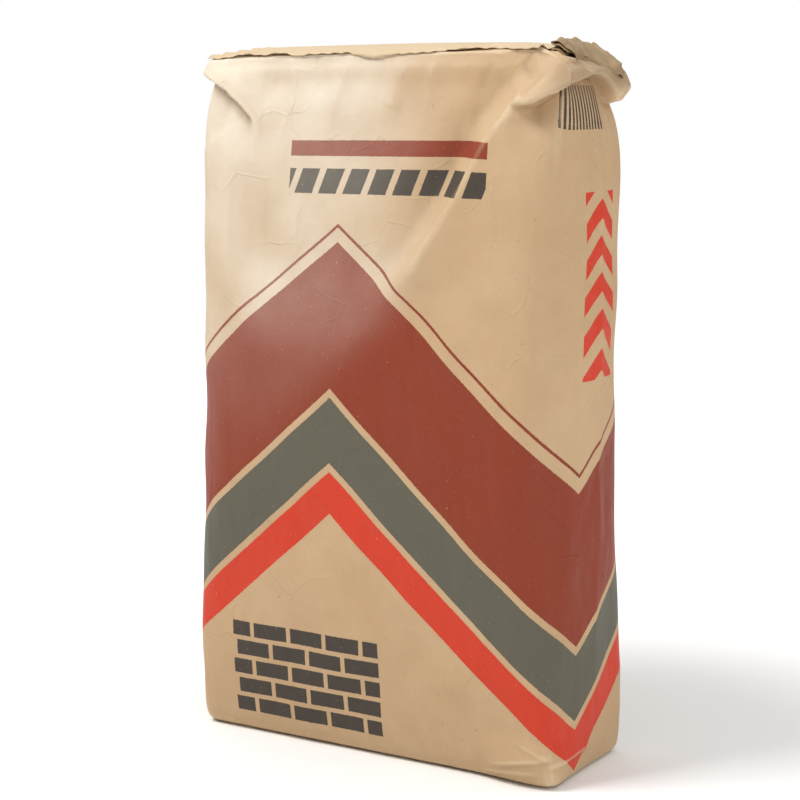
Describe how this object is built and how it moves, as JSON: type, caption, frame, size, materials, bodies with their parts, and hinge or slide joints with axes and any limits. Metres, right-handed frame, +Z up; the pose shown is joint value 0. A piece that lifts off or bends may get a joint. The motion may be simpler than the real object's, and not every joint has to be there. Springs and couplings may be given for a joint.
{
  "type": "filled paper cement sack",
  "caption": "Filled block-bottom paper valve sack of cement standing on its end, with a slack folded top, a drooping valve corner and glued cover sheets.",
  "frame": {"origin": "centre of the bottom face, on the floor the sack stands on", "axes": "+X along the wide face to the valve corner, -Y out of the front face, +Z up"},
  "size_m": [0.3935, 0.1606, 0.6344],
  "materials": {
    "kraft_paper": "smooth brown kraft paper with a satin print",
    "cement_powder": "packed grey powder",
    "patch_paper": "plain brown kraft paper",
    "valve_paper": "crumpled brown kraft paper, several plies"
  },
  "bodies": {
    "root": {"paper_sack": "kraft_paper", "cement_fill": "cement_powder", "bottom_cover_patch": "patch_paper", "top_cover_patch": "patch_paper", "valve_sleeve": "valve_paper"}
  },
  "joints": []
}
